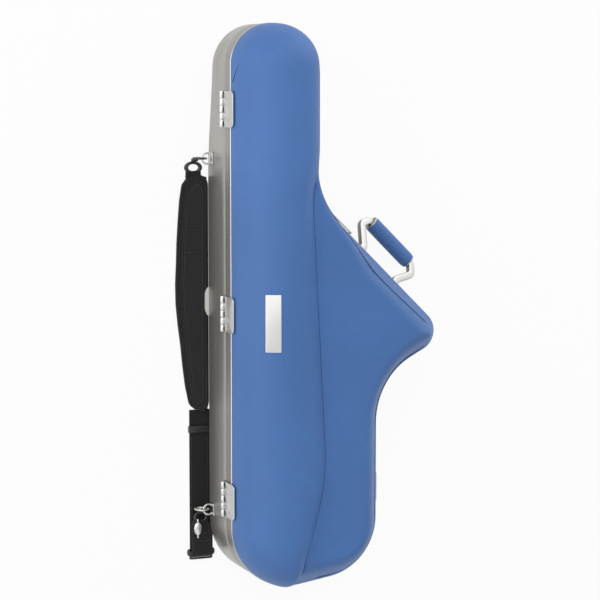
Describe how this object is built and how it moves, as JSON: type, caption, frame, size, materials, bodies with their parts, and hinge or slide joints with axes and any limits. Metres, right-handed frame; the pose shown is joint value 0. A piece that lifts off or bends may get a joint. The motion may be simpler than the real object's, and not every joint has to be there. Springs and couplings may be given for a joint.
{
  "type": "tenor saxophone case",
  "caption": "Shaped hard case for a tenor saxophone: aluminium tray, leather-covered domed lid on three hinges, three draw latches, carrying handle and padded shoulder strap.",
  "frame": {"origin": "on the flat back that the case lies on, in line with the body tube, at half the length", "axes": "+Z out through the lid, +Y along the case towards the neck end, +X towards the bell part"},
  "size_m": [0.3892, 0.854, 0.1983],
  "materials": {
    "brushed_frame": "satin brushed aluminium",
    "blue_leather": "blue fine-grained leather",
    "bright_metal": "bright nickel",
    "black_nylon": "woven black nylon",
    "black_metal": "black painted metal",
    "lining": "dark plush over foam",
    "seal": "black rubber",
    "bumper": "pale grey moulded"
  },
  "bodies": {
    "base": {"base_liner": "lining", "base_shell": "brushed_frame", "bell_block": "lining", "bow_end_block": "lining", "corner_bumper": "bumper", "handle_bracket_a": "bright_metal", "handle_bracket_b": "bright_metal", "handle_pin_a": "bright_metal", "handle_pin_b": "bright_metal", "hinge_low_base_leaf": "bright_metal", "hinge_low_pin": "bright_metal", "hinge_middle_base_leaf": "bright_metal", "hinge_middle_pin": "bright_metal", "hinge_top_base_leaf": "bright_metal", "hinge_top_pin": "bright_metal", "latch_bell_plate": "bright_metal", "latch_bow_plate": "bright_metal", "latch_neck_plate": "bright_metal", "neck_end_block": "lining", "rim_seal": "seal", "strap_end_bar": "black_metal", "strap_low_anchor": "bright_metal", "strap_low_hook": "bright_metal", "strap_low_ring": "black_metal", "strap_low_tab": "black_nylon", "strap_pad": "black_nylon", "strap_slider": "black_metal", "strap_top_anchor": "bright_metal", "strap_top_hook": "bright_metal", "strap_top_ring": "black_metal", "strap_top_tab": "black_nylon", "strap_webbing": "black_nylon"},
    "lid": {"hinge_low_lid_leaf": "bright_metal", "hinge_middle_lid_leaf": "bright_metal", "hinge_top_lid_leaf": "bright_metal", "latch_bell_keeper": "bright_metal", "latch_bow_keeper": "bright_metal", "latch_neck_keeper": "bright_metal", "lid_band": "brushed_frame", "lid_bell_pad": "lining", "lid_liner": "lining", "lid_shell": "blue_leather", "name_plate": "bright_metal"},
    "handle": {"handle_bow": "bright_metal", "handle_grip": "blue_leather"},
    "latch_neck_lever": {"latch_neck_lever": "bright_metal"},
    "latch_neck_bail": {"latch_neck_bail": "bright_metal"},
    "latch_bow_lever": {"latch_bow_lever": "bright_metal"},
    "latch_bow_bail": {"latch_bow_bail": "bright_metal"},
    "latch_bell_lever": {"latch_bell_lever": "bright_metal"},
    "latch_bell_bail": {"latch_bell_bail": "bright_metal"}
  },
  "joints": [
    {"name": "lid_hinge", "type": "hinge", "parent": "base", "child": "lid", "pos_m": [-0.073, 0, 0.088], "axis": [0, -1, 0], "range_deg": [0, 105]},
    {"name": "latch_neck_swing", "type": "hinge", "parent": "base", "child": "latch_neck_lever", "pos_m": [0.0685, 0.3005, 0.074], "axis": [0, -1, 0], "range_deg": [0, 140]},
    {"name": "bail_neck_swing", "type": "hinge", "parent": "latch_neck_lever", "child": "latch_neck_bail", "pos_m": [0.0685, 0.3005, 0.067], "axis": [0, -1, 0], "range_deg": [-140, 0]},
    {"name": "latch_bow_swing", "type": "hinge", "parent": "base", "child": "latch_bow_lever", "pos_m": [0.1745, -0.2845, 0.074], "axis": [0, -1, 0], "range_deg": [0, 140]},
    {"name": "bail_bow_swing", "type": "hinge", "parent": "latch_bow_lever", "child": "latch_bow_bail", "pos_m": [0.1745, -0.2845, 0.067], "axis": [0, -1, 0], "range_deg": [-140, 0]},
    {"name": "latch_bell_swing", "type": "hinge", "parent": "base", "child": "latch_bell_lever", "pos_m": [0.1165, 0.126, 0.074], "axis": [0.7136, -0.7006, 0], "range_deg": [0, 140]},
    {"name": "bail_bell_swing", "type": "hinge", "parent": "latch_bell_lever", "child": "latch_bell_bail", "pos_m": [0.1165, 0.126, 0.067], "axis": [0.7136, -0.7006, 0], "range_deg": [-140, 0]},
    {"name": "handle_swing", "type": "hinge", "parent": "base", "child": "handle", "pos_m": [0.19411, 0.05303, 0.06], "axis": [0.7136, -0.7006, 0], "range_deg": [-18, 115]}
  ],
  "couplings": [
    {"joint": "bail_neck_swing", "follows": "latch_neck_swing", "ratio": -1},
    {"joint": "bail_bow_swing", "follows": "latch_bow_swing", "ratio": -1},
    {"joint": "bail_bell_swing", "follows": "latch_bell_swing", "ratio": -1}
  ]
}
